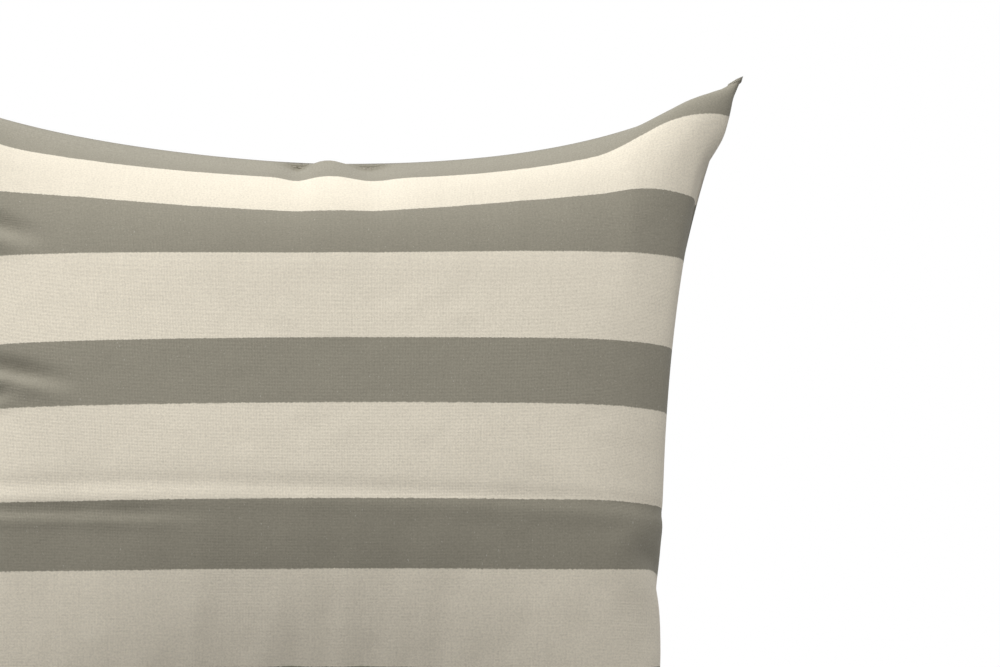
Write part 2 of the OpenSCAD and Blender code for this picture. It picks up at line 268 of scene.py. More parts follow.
def finer(a):
    return np.swapaxes(between(np.swapaxes(between(a), 0, 1)), 0, 1)


def facing(grid, side):
    # the outward direction at each point: the cross product of the two ways along the grid
    across, up = np.gradient(grid, axis=1), np.gradient(grid, axis=0)
    return unit(np.cross(across, up)) * (1 if side < 0 else -1)


zipRow = round(zipPlace["height"] / cell)
bandRows = round(zipPlace["band"] / cell)
frontGrid, backGrid = blowUp()
# cloth lower than restHeight eases down to the floor that it stands on
restHeight = 0.004
for g in (frontGrid, backGrid):
    eased = restHeight * np.exp((g[..., 2] - restHeight) / restHeight)
    g[..., 2] = np.where(g[..., 2] < restHeight, eased, g[..., 2])
    g[0, :, 2] = np.minimum(g[0, :, 2], cover["cornerLift"])
print("cover blown up: front to", round(float(frontGrid[..., 1].min()), 4),
      "back to", round(float(backGrid[..., 1].max()), 4), "top", round(float(frontGrid[..., 2].max()), 4))


def settle(grid, rounds=5):
    # evens out the short creases beside the side seams: each point moves towards the mean of its neighbours
    k = np.abs(np.linspace(-1, 1, grid.shape[1]))[None, :, None]
    rows = np.linspace(-1, 1, grid.shape[0])[:, None, None]
    share = 0.25 + 0.6 * smooth(0.70, 0.90, k) * (1 - smooth(0.5, 0.8, rows))
    for _ in range(rounds):
        mean = (grid[:-2, 1:-1] + grid[2:, 1:-1] + grid[1:-1, :-2] + grid[1:-1, 2:]) / 4
        grid[1:-1, 1:-1] += share[1:-1, 1:-1] * (mean - grid[1:-1, 1:-1])
    return grid


def drawDown(grid, side, slope):
    # the cloth below the top seam is drawn flat over the insert: a cubic from the seam to the sim's own cloth
    depth = cover["side"] * (1 - np.linspace(0, 1, grid.shape[0]))        # from the top seam, by row
    last = int(np.argmin(np.abs(depth - drawn["reach"])))
    t = (depth / depth[last])[last:, None, None]
    seam, join = grid[-1][None], grid[last][None]
    length = depth[last]
    leave = np.array([0, side * math.cos(slope), -math.sin(slope)]) * length
    arrive = (grid[last - 1] - grid[last + 1])[None] / (depth[last - 1] - depth[last + 1]) * length
    cubic = (2 * t ** 3 - 3 * t ** 2 + 1) * seam + (t ** 3 - 2 * t ** 2 + t) * leave
    cubic = cubic + (3 * t ** 2 - 2 * t ** 3) * join + (t ** 3 - t ** 2) * arrive
    k = np.abs(np.linspace(-1, 1, grid.shape[1]))[None, :, None]
    share = 1 - smooth(0.62, 0.94, k)
    grid[last:] = grid[last:] * (1 - share) + cubic * share
    return grid


def tuckSides(grid):
    # no cloth stands past the side seam at its own height: r is |x| over the seam's half width
    right = grid[:, -1]
    order = np.argsort(right[:, 2])
    half = np.interp(grid[..., 2], right[order, 2], right[order, 0])
    r = np.abs(grid[..., 0]) / half
    keep, room = 0.965, 0.035
    eased = np.where(r > keep, keep + room * (1 - np.exp(-(r - keep) / room)), r)
    top = smooth(0.40, 0.43, grid[..., 2])
    eased = r + (eased - r) * (1 - top)
    grid[1:-1, 1:-1, 0] *= (eased / np.maximum(r, 1e-6))[1:-1, 1:-1]
    return grid


settle(frontGrid)
band = slice(zipRow - bandRows, zipRow + bandRows + 1)
heldFlat = backGrid[band].copy()
settle(backGrid, 4)
backGrid[band] = heldFlat
tuckSides(frontGrid)
tuckSides(backGrid)
drawDown(frontGrid, -1, drawn["front"])
drawDown(backGrid, 1, drawn["back"])
frontFine, backFine = finer(frontGrid), finer(backGrid)
big = len(frontFine) - 1
across = np.linspace(-0.5, 0.5, big + 1) * cover["side"]
clothX, clothZ = np.meshgrid(across, across)
fromTop = cover["side"] / 2 - clothZ

# folds that the seams leave in the cloth: a notch at the middle of the top, an ear at each upper corner
fan = clothX / (1 + 3.0 * fromTop)
fade = np.exp(-fromTop / 0.045) * smooth(0, 0.004, fromTop)
notch = 0.8 * bump(fan, 0.011, 0.011) - bump(fan, -0.006, 0.007) - 0.8 * bump(fan, 0.031, 0.011)
notch = folds["notch"] * fade * notch
cornerX = cover["side"] / 2 - np.abs(clothX)
along = (cornerX + fromTop) / math.sqrt(2)          # distance from the corner down the diagonal
aside = (fromTop - cornerX) / math.sqrt(2)
ear = -folds["ear"] * bump(aside, 0.012 + 0.25 * along, 0.010 + 0.12 * along)
ear = ear * smooth(0.02, 0.06, along) * (1 - smooth(0.08, 0.19, along))
# a crease left by packing: a groove across the middle, with a ridge below it
weaving = 0.003 * np.sin(9 * clothX)
crease = 0.8 * bump(fromTop, 0.262 + weaving, 0.005) - bump(fromTop, 0.254 + weaving, 0.0035)
crease = folds["crease"] * crease * smooth(0.25, 0.18, np.abs(clothX))


def fold(x0, s0, x1, s1, width, depth):
    # a groove from one place of the cloth to another, (x, distance from the top), with a soft ridge beside it
    dx, ds = x1 - x0, s1 - s0
    size = math.hypot(dx, ds)
    t = ((clothX - x0) * dx + (fromTop - s0) * ds) / size ** 2
    off = ((fromTop - s0) * dx - (clothX - x0) * ds) / size
    ends = smooth(-0.15, 0.2, t) * smooth(1.15, 0.7, t)
    return depth * ends * (0.7 * bump(off, 1.6 * width, width) - bump(off, 0, width))


pinches = fold(-0.215, 0.172, -0.125, 0.197, 0.0045, folds["pinch"])
pinches += fold(-0.225, 0.214, -0.150, 0.200, 0.004, 0.6 * folds["pinch"])
pinches += fold(-0.225, 0.078, -0.145, 0.114, 0.006, folds["pinch"])
pinches += fold(-0.200, 0.262, -0.06, 0.268, 0.003, 0.35 * folds["pinch"])
frontFine += facing(frontFine, -1) * (notch + ear + crease + pinches)[..., None]
backFine += facing(backFine, 1) * (0.8 * ear)[..., None]

# the stripes bow down in the middle of the panel, where the cloth was pulled as the cover was filled
offMiddle = clothX / 0.2
bow = stripes["drop"] - stripes["spread"] * (fromTop - 0.116)
bow = bow + offMiddle * (0.0185 * (fromTop - 0.116) - stripes["skew"]) + stripes["bow"] * (1 - offMiddle ** 2)
bow = bow + stripes["bowTop"] * bump(fromTop, 0.10, 0.04) * bump(clothX, 0.008, 0.09)
arch = stripes["arch"] * (1 - bump(clothX, 0.005, 0.10)) * bump(fromTop, 0.079, 0.022)
bow = bow - arch * smooth(0.225, 0.16, np.abs(clothX))
bow = bow * smooth(0.0, 0.03, fromTop) * smooth(0.5, 0.35, fromTop) * smooth(0.25, 0.22, np.abs(clothX))
clothUv = np.stack([clothX + cover["side"] / 2, fromTop - bow], -1)
backUv = np.stack([clothX + cover["side"] / 2, fromTop], -1)


# finishes
def newGroup(name, inputs, outputs):
    tree = bpy.data.node_groups.new(name, "ShaderNodeTree")
    for label, kind, value in inputs:
        socket = tree.interface.new_socket(label, in_out="INPUT", socket_type="NodeSocket" + kind)
        if value is not None:
            socket.default_value = value
    for label, kind in outputs:
        tree.interface.new_socket(label, in_out="OUTPUT", socket_type="NodeSocket" + kind)
    return tree, tree.nodes.new("NodeGroupInput").outputs, tree.nodes.new("NodeGroupOutput").inputs


def put(tree, socket, value):
    if isinstance(value, bpy.types.NodeSocket):
        tree.links.new(value, socket)
    else:
        socket.default_value = value


def sums(tree, how, a, b=0.0, c=0.0):
    node = tree.nodes.new("ShaderNodeMath")
    node.operation = how
    for socket, value in zip(node.inputs, (a, b, c)):
        put(tree, socket, value)
    return node.outputs[0]


def noiseOf(tree, at, scale, detail=2.0, rough=0.5, stretch=(1, 1, 1)):
    mapping = tree.nodes.new("ShaderNodeMapping")
    mapping.inputs["Scale"].default_value = stretch
    tree.links.new(at, mapping.inputs["Vector"])
    noise = tree.nodes.new("ShaderNodeTexNoise")
    noise.inputs["Detail"].default_value = detail
    noise.inputs["Roughness"].default_value = rough
    put(tree, noise.inputs["Scale"], scale)
    tree.links.new(mapping.outputs[0], noise.inputs["Vector"])
    return noise.outputs[0]


def ramp(tree, value, low, high, outLow=0.0, outHigh=1.0):
    node = tree.nodes.new("ShaderNodeMapRange")
    node.interpolation_type = "SMOOTHSTEP"
    for socket, v in zip(node.inputs, (value, low, high, outLow, outHigh)):
        put(tree, socket, v)
    return node.outputs[0]


def mixed(tree, how, factor, a, b):
    node = tree.nodes.new("ShaderNodeMix")
    node.data_type = "RGBA"
    node.blend_type = how
    put(tree, node.inputs["Factor"], factor)
    put(tree, node.inputs["A"], a)
    put(tree, node.inputs["B"], b)
    return node.outputs["Result"]


def gray(tree, value):
    node = tree.nodes.new("ShaderNodeCombineColor")
    for socket in node.inputs:
        tree.links.new(value, socket)
    return node.outputs[0]


# plain weave: sin(u) sin(v) is positive where the warp is on top; every yarn has its own thickness and tone,
# and painted shade darkens the dips between the yarns
weave, gi, go = newGroup("plainWeave",
    [("Cloth", "Vector", None), ("Pitch", "Float", 0.0008), ("Slub", "Float", 0.5), ("Fleck", "Float", 0.5)],
    [("Height", "Float"), ("Tone", "Float"), ("Over", "Float")])
split = weave.nodes.new("ShaderNodeSeparateXYZ")
weave.links.new(gi["Cloth"], split.inputs[0])
yarnU = sums(weave, "DIVIDE", split.outputs[0], gi["Pitch"])
yarnV = sums(weave, "DIVIDE", split.outputs[1], gi["Pitch"])
wobble = noiseOf(weave, gi["Cloth"], 260.0)
yarnU = sums(weave, "ADD", yarnU, sums(weave, "MULTIPLY", wobble, 0.35))
yarnV = sums(weave, "ADD", yarnV, sums(weave, "MULTIPLY", wobble, 0.35))
waveU = sums(weave, "SINE", sums(weave, "MULTIPLY", yarnU, math.pi))
waveV = sums(weave, "SINE", sums(weave, "MULTIPLY", yarnV, math.pi))
product = sums(weave, "MULTIPLY", waveU, waveV)
over = ramp(weave, product, -0.15, 0.15)
rise = sums(weave, "POWER", sums(weave, "ABSOLUTE", product), 0.6)
tones = []
for yarn, stretch in ((yarnU, (900.0, 120.0, 1.0)), (yarnV, (120.0, 900.0, 1.0))):
    white = weave.nodes.new("ShaderNodeTexWhiteNoise")
    white.noise_dimensions = "1D"
    weave.links.new(sums(weave, "FLOOR", yarn), white.inputs["W"])
    slub = noiseOf(weave, gi["Cloth"], 1.0, 3.0, 0.6, stretch)
    tones.append(sums(weave, "MULTIPLY_ADD", sums(weave, "SUBTRACT", white.outputs["Value"], 0.5), 0.08,
        sums(weave, "MULTIPLY", sums(weave, "SUBTRACT", slub, 0.5), 0.5)))
yarnTone = sums(weave, "ADD", sums(weave, "MULTIPLY", tones[0], over),
    sums(weave, "MULTIPLY", tones[1], sums(weave, "SUBTRACT", 1.0, over)))
grain = noiseOf(weave, gi["Cloth"], 800.0, 2.0, 0.7)
fleck = ramp(weave, grain, 0.60, 0.76)
light = sums(weave, "MULTIPLY_ADD", sums(weave, "MULTIPLY", yarnTone, gi["Slub"]), 0.9, 1.0)
# painted shade: the tone is made up to 0.06 darker where the yarns dip between their crossings
light = sums(weave, "SUBTRACT", light, sums(weave, "MULTIPLY", sums(weave, "SUBTRACT", 1.0, rise), 0.06))
grainTone = sums(weave, "MULTIPLY", sums(weave, "SUBTRACT", grain, 0.5), gi["Fleck"])
light = sums(weave, "MULTIPLY_ADD", grainTone, 0.85, light)
flecked = sums(weave, "MULTIPLY", fleck, gi["Fleck"])
light = sums(weave, "SUBTRACT", light, sums(weave, "MULTIPLY", flecked, 0.10))
weave.links.new(light, go["Tone"])
weave.links.new(over, go["Over"])
yarnRise = sums(weave, "MULTIPLY", tones[1], gi["Slub"])
weave.links.new(sums(weave, "MULTIPLY_ADD", yarnRise, 0.8, rise), go["Height"])

# handling: slow drifts of tone over the surface, a little lint, and paler rubbed places
handled, gi, go = newGroup("handling",
    [("Place", "Vector", None), ("Drift", "Float", 0.05), ("Lint", "Float", 0.3), ("Rub", "Float", 0.2)],
    [("Tone", "Float"), ("Lint", "Float"), ("Height", "Float")])
slow = noiseOf(handled, gi["Place"], 9.0, 3.0, 0.55)
middling = noiseOf(handled, gi["Place"], 42.0, 3.0, 0.6)
lint = ramp(handled, noiseOf(handled, gi["Place"], 1500.0, 1.0, 0.4, (1.0, 1.0, 0.35)), 0.72, 0.80)
rubbed = ramp(handled, noiseOf(handled, gi["Place"], 60.0, 4.0, 0.7), 0.55, 0.75)
tone = sums(handled, "MULTIPLY_ADD", sums(handled, "SUBTRACT", slow, 0.5), gi["Drift"], 1.0)
lesser = sums(handled, "MULTIPLY", gi["Drift"], 0.6)
tone = sums(handled, "MULTIPLY_ADD", sums(handled, "SUBTRACT", middling, 0.5), lesser, tone)
tone = sums(handled, "MULTIPLY_ADD", sums(handled, "MULTIPLY", rubbed, gi["Rub"]), 0.08, tone)
handled.links.new(tone, go["Tone"])
handled.links.new(sums(handled, "MULTIPLY", lint, gi["Lint"]), go["Lint"])
handled.links.new(sums(handled, "ADD", slow, sums(handled, "MULTIPLY", middling, 0.4)), go["Height"])


def newFinish(name, rough, **constants):
    # a material with its shader, and the places a pattern can read
    material = bpy.data.materials.new(name)
    material.use_nodes = True
    tree = material.node_tree
    shader = tree.nodes["Principled BSDF"]
    shader.inputs["Roughness"].default_value = rough
    for label, value in constants.items():
        shader.inputs[label.replace("_", " ")].default_value = value
    place = tree.nodes.new("ShaderNodeTexCoord").outputs["Object"]
    uv = tree.nodes.new("ShaderNodeUVMap")
    uv.uv_map = "cloth"
    return material, tree, shader, place, uv.outputs[0]


def useGroup(tree, group, **values):
    node = tree.nodes.new("ShaderNodeGroup")
    node.node_tree = group
    for label, value in values.items():
        put(tree, node.inputs[label], value)
    return node.outputs


def relief(tree, shader, steps):
    # bumps on bumps: (height, distance in metres, strength)
    normal = None
    for height, distance, strength in steps:
        node = tree.nodes.new("ShaderNodeBump")
        node.inputs["Distance"].default_value = distance
        node.inputs["Strength"].default_value = strength
        tree.links.new(height, node.inputs["Height"])
        if normal:
            tree.links.new(normal, node.inputs["Normal"])
        normal = node.outputs[0]
    tree.links.new(normal, shader.inputs["Normal"])


def clothFinish(name, beige, grey, striped=True, pitch=0.0008):
    # dyed cotton, with woven stripes that repeat down the cloth
    material, tree, shader, place, uv = newFinish(
        name, 0.9, Sheen_Weight=0.12, Sheen_Roughness=0.5, Specular_IOR_Level=0.25)
    threads = useGroup(tree, weave, Cloth=uv, Pitch=pitch, Slub=0.5, Fleck=0.6)
    worn = useGroup(tree, handled, Place=place, Drift=0.10, Lint=0.25, Rub=0.3)
    colour = beige
    if striped:
        split = tree.nodes.new("ShaderNodeSeparateXYZ")
        tree.links.new(uv, split.inputs[0])
        edge = noiseOf(tree, uv, 1.0, 2.0, 0.5, (700.0, 60.0, 1.0))
        along = sums(tree, "MULTIPLY_ADD", sums(tree, "SUBTRACT", edge, 0.5), 0.0012, split.outputs[1])
        # nine whole repeats are added, so that the stripes above the first one count up too
        below = sums(tree, "SUBTRACT", along, stripes["first"])
        phase = sums(tree, "DIVIDE", sums(tree, "ADD", below, 9 * stripes["repeat"]), stripes["repeat"])
        phase = sums(tree, "FRACT", phase)
        width = stripes["grey"] / stripes["repeat"]
        soft = 0.0004 / stripes["repeat"]
        ends = ramp(tree, phase, width - soft, width + soft, 1.0, 0.0)
        isGrey = sums(tree, "MULTIPLY", ramp(tree, phase, 0.0, soft), ends)
        colour = mixed(tree, "MIX", isGrey, beige, grey)
    tone = gray(tree, sums(tree, "MULTIPLY", threads["Tone"], worn["Tone"]))
    colour = mixed(tree, "MULTIPLY", 1.0, colour, tone)
    colour = mixed(tree, "MIX", worn["Lint"], colour, (0.86, 0.83, 0.76, 1))
    tree.links.new(colour, shader.inputs["Base Color"])
    tree.links.new(ramp(tree, threads["Height"], 0.0, 1.2, 0.97, 0.84), shader.inputs["Roughness"])
    relief(tree, shader, [(worn["Height"], 0.0012, 0.35), (threads["Height"], 0.00016, 0.8)])
    return material


def threadFinish(name, colour, ply=0.0009):
    # plied thread: ridges that run round it at a slant, with painted shade in the grooves between them
    material, tree, shader, place, uv = newFinish(name, 0.7, Sheen_Weight=0.3, Specular_IOR_Level=0.35)
    turn = noiseOf(tree, place, 1500.0, 2.0, 0.6)
    worn = useGroup(tree, handled, Place=place, Drift=0.08, Lint=0.1, Rub=0.2)
    split = tree.nodes.new("ShaderNodeSeparateXYZ")
    tree.links.new(uv, split.inputs[0])
    slant = sums(tree, "ADD", split.outputs[0], split.outputs[1])
    ridge = sums(tree, "SINE", sums(tree, "MULTIPLY", slant, 2 * math.pi / ply))
    ridge = sums(tree, "MULTIPLY_ADD", ridge, 0.5, 0.5)
    # painted shade: the tone is darker in the grooves between the ply ridges and lighter on their crests
    tone = sums(tree, "MULTIPLY", worn["Tone"], ramp(tree, ridge, 0.0, 1.0, 0.82, 1.04))
    tone = sums(tree, "MULTIPLY", tone, ramp(tree, turn, 0.3, 0.7, 0.94, 1.04))
    tree.links.new(mixed(tree, "MULTIPLY", 1.0, colour, gray(tree, tone)), shader.inputs["Base Color"])
    relief(tree, shader, [(ridge, 0.0001, 0.7), (turn, 0.00004, 0.4)])
    return material


def fibreFinish(name, colour, scale, depth, rough=0.95, dots=False):
    # laid fibres: two stretched noises across each other
    material, tree, shader, place, uv = newFinish(name, rough, Sheen_Weight=0.25, Specular_IOR_Level=0.2)
    one = noiseOf(tree, place, scale, 4.0, 0.7, (1.0, 1.0, 0.18))
    two = noiseOf(tree, place, scale * 0.8, 4.0, 0.7, (0.2, 1.0, 1.0))
    laid = sums(tree, "MULTIPLY_ADD", one, 0.6, sums(tree, "MULTIPLY", two, 0.4))
    worn = useGroup(tree, handled, Place=place, Drift=0.08, Lint=0.15, Rub=0.1)
    tone = sums(tree, "MULTIPLY", worn["Tone"], ramp(tree, laid, 0.3, 0.7, 0.88, 1.05))
    if dots:
        cells = tree.nodes.new("ShaderNodeTexVoronoi")
        cells.inputs["Scale"].default_value = 420.0
        cells.inputs["Randomness"].default_value = 0.15
        tree.links.new(place, cells.inputs["Vector"])
        bond = ramp(tree, cells.outputs["Distance"], 0.2, 0.4)
        tone = sums(tree, "MULTIPLY", tone, ramp(tree, bond, 0.0, 1.0, 0.93, 1.0))
        laid = sums(tree, "MULTIPLY", laid, bond)
    tree.links.new(mixed(tree, "MULTIPLY", 1.0, colour, gray(tree, tone)), shader.inputs["Base Color"])
    relief(tree, shader, [(worn["Height"], depth * 6, 0.4), (laid, depth, 0.8)])
    return material


def tapeFinish(name, colour):
    # a finer weave, for the zip tapes and the satin labels
    material, tree, shader, place, uv = newFinish(name, 0.75, Sheen_Weight=0.2, Specular_IOR_Level=0.3)
    threads = useGroup(tree, weave, Cloth=uv, Pitch=0.00045, Slub=0.25, Fleck=0.15)
    worn = useGroup(tree, handled, Place=place, Drift=0.06, Lint=0.2, Rub=0.2)
    tone = gray(tree, sums(tree, "MULTIPLY", threads["Tone"], worn["Tone"]))
    tree.links.new(mixed(tree, "MULTIPLY", 1.0, colour, tone), shader.inputs["Base Color"])
    relief(tree, shader, [(threads["Height"], 0.0001, 0.8)])
    return material


def nylonFinish(name, colour):
    # drawn nylon: smooth, with fine uneven gloss
    material, tree, shader, place, uv = newFinish(name, 0.38, Specular_IOR_Level=0.5)
    fine = noiseOf(tree, place, 2200.0, 3.0, 0.6)
    worn = useGroup(tree, handled, Place=place, Drift=0.08, Lint=0.1, Rub=0.3)
    tree.links.new(mixed(tree, "MULTIPLY", 1.0, colour, gray(tree, worn["Tone"])), shader.inputs["Base Color"])
    tree.links.new(ramp(tree, fine, 0.3, 0.7, 0.3, 0.5), shader.inputs["Roughness"])
    relief(tree, shader, [(fine, 0.00002, 0.5)])
    return material


def castFinish(name, colour):
    # plated casting: tumbled satin skin, fine scratches along the zip, duller where it is handled
    material, tree, shader, place, uv = newFinish(name, 0.3, Metallic=1.0)
    scratch = ramp(tree, noiseOf(tree, place, 900.0, 3.0, 0.7, (0.12, 1.0, 1.0)), 0.55, 0.75)
    tumbled = noiseOf(tree, place, 1600.0, 3.0, 0.5)
    worn = useGroup(tree, handled, Place=place, Drift=0.15, Lint=0.1, Rub=0.6)
    tone = sums(tree, "MULTIPLY", worn["Tone"], ramp(tree, scratch, 0.0, 1.0, 0.96, 1.08))
    tree.links.new(mixed(tree, "MULTIPLY", 1.0, colour, gray(tree, tone)), shader.inputs["Base Color"])
    roughness = sums(tree, "MULTIPLY_ADD", scratch, 0.15, ramp(tree, worn["Height"], 0.4, 1.0, 0.24, 0.38))
    tree.links.new(roughness, shader.inputs["Roughness"])
    relief(tree, shader, [(tumbled, 0.00003, 0.4), (scratch, 0.00002, 0.5)])
    return material


beige = (0.78, 0.715, 0.59, 1)
grey = (0.292, 0.271, 0.214, 1)
coverFinish = clothFinish("stripedCotton", beige, grey)
allowanceFinish = clothFinish("cottonInside", beige, grey, striped=False)
seamThread = threadFinish("ecruThread", (0.74, 0.69, 0.58, 1))
greyThread = threadFinish("greyThread", (0.33, 0.31, 0.25, 1))
tapeWeave = tapeFinish("greyZipTape", (0.29, 0.275, 0.22, 1))
coilNylon = nylonFinish("greyNylon", (0.27, 0.255, 0.21, 1))
zipPlating = castFinish("satinNickel", (0.66, 0.64, 0.60, 1))
casing = fibreFinish("casingFleece", (0.88, 0.87, 0.83, 1), 700.0, 0.0001, dots=True)
wadding = fibreFinish("wadding", (0.93, 0.93, 0.91, 1), 240.0, 0.0008)
labelSatin = tapeFinish("labelSatin", (0.90, 0.89, 0.86, 1))
print("finishes made")


# cover panels
# the turned edge: half the gap between the two panels, and how far in its two rows of points lie
tuck = dict(gap=0.00035, first=0.0014, second=0.0042)


def inward(grid, edge, deep):
    # towards the middle of the pillow: edge at the seams, deep at the front and back
    at = grid.copy()
    at[..., 0] *= 1 - edge / (cover["waistWidth"] / 2)
    rise = np.clip((grid[..., 2] - cover["belly"]) / (cover["height"] - cover["belly"]), 0, 1)
    plane = cover["lean"] * rise ** 2
    at[..., 1] = plane * (1 - 2 * edge / cover["belly"]) + (grid[..., 1] - plane) * (1 - deep / 0.1)
    at[..., 2] = cover["belly"] + (grid[..., 2] - cover["belly"]) * (1 - edge / cover["belly"])
    return at


def stacked(rows, like):
    # rows, perhaps none, as an array that joins on to another one
    return np.array(rows).reshape(-1, *like.shape[1:])


def turnedEdges(grid, uv, side, rowsLow=True):
    # the panel with its edge turned in: one row at the fold, one just inside it, one along the allowance
    g = grid.copy()

    def shifted(points, amount, y):
        p = inward(points, amount, 0)
        p[..., 1] = points[..., 1] + y * side
        return p

    def wrap(points, texture, axis, low, high):
        p, t = np.moveaxis(points, axis, 0), np.moveaxis(texture, axis, 0)
        ends = []
        for first, use in ((p[0], low), (p[-1], high)):
            turned = [shifted(first, tuck["second"], 0.00005), shifted(first, tuck["first"], 0.0001)]
            ends.append(turned if use else [])
        lowRows, highRows = ends[0], ends[1][::-1]
        p = np.concatenate([stacked(lowRows, p), p, stacked(highRows, p)])
        t = np.concatenate([stacked([t[0]] * len(lowRows), t), t, stacked([t[-1]] * len(highRows), t)])
        return np.moveaxis(p, 0, axis), np.moveaxis(t, 0, axis)

    g[:, 0, 1] += side * tuck["gap"]
    g[:, -1, 1] += side * tuck["gap"]
    if rowsLow[0]:
        g[0, 1:-1, 1] += side * tuck["gap"]
    if rowsLow[1]:
        g[-1, 1:-1, 1] += side * tuck["gap"]
    g, t = wrap(g, uv, 0, rowsLow[0], rowsLow[1])
    return wrap(g, t, 1, True, True)


def panel(name, grid, uv, side, ends, node):
    g, t = turnedEdges(grid, uv, side, ends)
    number = np.arange(g.shape[0] * g.shape[1]).reshape(g.shape[:2])
    piece = newPiece(name, g.reshape(-1, 3), quads(number, side > 0), t.reshape(-1, 2), coverFinish,
                     stands=(node,))
    thicken(piece, cover["cloth"])


panel("coverFront", frontFine, clothUv, -1, (True, True), "cover_front")

# the back is cut at the zip; inside the mouth each edge is folded under, and outside it the two edges meet
mouthRow = 2 * zipRow
isOpen = 1 - smooth(0.1502, 0.1565, np.abs(across))[:, None]


def zipEdge(side):
    # two rows: the turn of the fold, and its underside
    rows = []
    for r, m, out in ((mouthRow + side, side * 0.00500, -0.0003), (mouthRow, side * 0.00515, -0.0008)):
        folded = onZip(across, m, out)
        rows.append(backFine[r] * (1 - isOpen) + folded * isOpen)
    rows[1] = rows[1] + np.array([0, -0.0001, side * 0.0001]) * (1 - isOpen)
    return rows


low = zipEdge(-1)
lowGrid = np.concatenate([backFine[:mouthRow - 1], [low[0], low[1]]])
lowUv = backUv[:mouthRow + 1]
high = zipEdge(1)
highGrid = np.concatenate([[high[1], high[0]], backFine[mouthRow + 2:]])
highUv = backUv[mouthRow:]
panel("coverBackLower", lowGrid, lowUv, 1, (True, False), "cover_back_lower")
panel("coverBackUpper", highGrid, highUv, 1, (False, True), "cover_back_upper")
print("cover panels sewn")


# strips, threads and bands
def boxStrip(corners):
    # a bar through four corner lines, with both ends closed: corners is (points, 4, 3)
    k = len(corners)
    number = np.arange(4 * k).reshape(k, 4)
    ring = np.concatenate([number, number[:, :1]], 1)
    faces = quads(ring).tolist() + [number[0].tolist(), number[-1][::-1].tolist()]
    return corners.reshape(-1, 3), faces


def joinAll(parts):
    points, faces, at = [], [], 0
    for p, f in parts:
        points.append(p)
        faces += [[i + at for i in face] for face in f]
        at += len(p)
    return np.concatenate(points), faces


def outwards(piece):
    # every closed shape in the piece with its faces pointing out
    mesh = piece.data
    bm = bmesh.new()
    bm.from_mesh(mesh)
    bmesh.ops.recalc_face_normals(bm, faces=bm.faces)
    bm.to_mesh(mesh)
    bm.free()
    return piece


# the seam: the share of a border left free at the corners, then the allowance and the sewing inside the edge
seam = dict(free=0.12, allowance=(0.0017, 0.0102), line=0.0030, row=0.00085, thread=0.0002)
skip = int(seam["free"] * big / 2)
borders = [frontFine[:, 0], frontFine[:, -1], frontFine[0], frontFine[-1]]
borders = [b[skip:len(b) - skip] for b in borders]


def strip(border, edge0, edge1, y0, y1):
    a, b = inward(border, edge0, 0), inward(border, edge1, 0)
    up = np.array([0, 1.0, 0])
    return boxStrip(np.stack([a + up * y0, b + up * y0, b + up * y1, a + up * y1], 1))


def alongUv(points):
    return np.stack([points[:, 0] + points[:, 2], points[:, 1] + points[:, 2] * 0.5], 1)


layers = ((-0.0008, -0.00003), (0.00003, 0.0008))
points, faces = joinAll([strip(b, *seam["allowance"], y0, y1) for b in borders for y0, y1 in layers])
outwards(newPiece("seamAllowance", points, faces, alongUv(points), allowanceFinish,
                  stands=("seam_allowance",), shade=False))


def stitches(path, normal, length=0.0026, gap=0.0004, radius=0.00025, lift=0.0, sides=6):
    # capsules end to end along a path, each dipping at both ends; normal is the way up at each point
    run = np.r_[0, np.cumsum(np.linalg.norm(np.diff(path, axis=0), axis=1))]
    count = int(run[-1] / (length + gap))
    t = np.array([0, 0.12, 0.35, 0.65, 0.88, 1.0])
    fat = np.array([0.45, 0.85, 1.0, 1.0, 0.85, 0.45]) * radius
    dip = np.array([-0.9, -0.2, 0.25, 0.25, -0.2, -0.9]) * radius
    begin = np.arange(count) * (length + gap) + gap / 2
    at = begin[:, None] + t[None] * length
    centre = np.stack([np.interp(at, run, path[:, i]) for i in range(3)], -1)
    up = unit(np.stack([np.interp(at, run, normal[:, i]) for i in range(3)], -1))
    ahead = unit(np.gradient(centre, axis=1))
    aside = unit(np.cross(ahead, up))
    centre = centre + up * (lift + dip[None, :, None])
    turn = np.linspace(0, 2 * math.pi, sides, endpoint=False)
    circle = np.cos(turn)[:, None] * up[:, :, None] + np.sin(turn)[:, None] * aside[:, :, None]
    ringPoints = centre[:, :, None] + fat[None, :, None, None] * circle
    number = np.arange(count * len(t) * sides).reshape(count, len(t), sides)
    ring = np.concatenate([number, number[:, :, :1]], 2)
    a, b, c, d = ring[:, :-1, :-1], ring[:, :-1, 1:], ring[:, 1:, 1:], ring[:, 1:, :-1]
    faces = np.stack([a, b, c, d], -1).reshape(-1, 4).tolist()
    faces += number[:, 0, ::-1].tolist() + number[:, -1].tolist()
    return ringPoints.reshape(-1, 3), faces


def threadPiece(name, parts, node, finish=None):
    points, faces = joinAll(parts)
    uv = np.stack([points[:, 0] + points[:, 2], points[:, 1]], 1)
    outwards(newPiece(name, points, faces, uv, finish or seamThread, stands=(node,)))


rows = []
for b in borders:
    line = inward(b, seam["line"], 0)
    for side in (-1, 1):
        up = np.tile([0, float(side), 0], (len(line), 1))
        beside = line + np.array([0, side * seam["row"], 0])
        rows.append(stitches(beside, up, radius=seam["thread"], lift=0.0001))
threadPiece("seamStitches", rows, "seam_stitching")

# zip: stitching, tapes, coils
s = np.linspace(-0.1525, 0.1525, 160)
outDirection = unit(onZip(s, 0.0, 0.001) - onZip(s, 0.0, 0.0))
rows = [stitches(onZip(s, m, 0.0), outDirection, radius=0.00026, lift=0.0001) for m in (-0.008, 0.008)]
threadPiece("zipStitches", rows, "zip_stitching", greyThread)

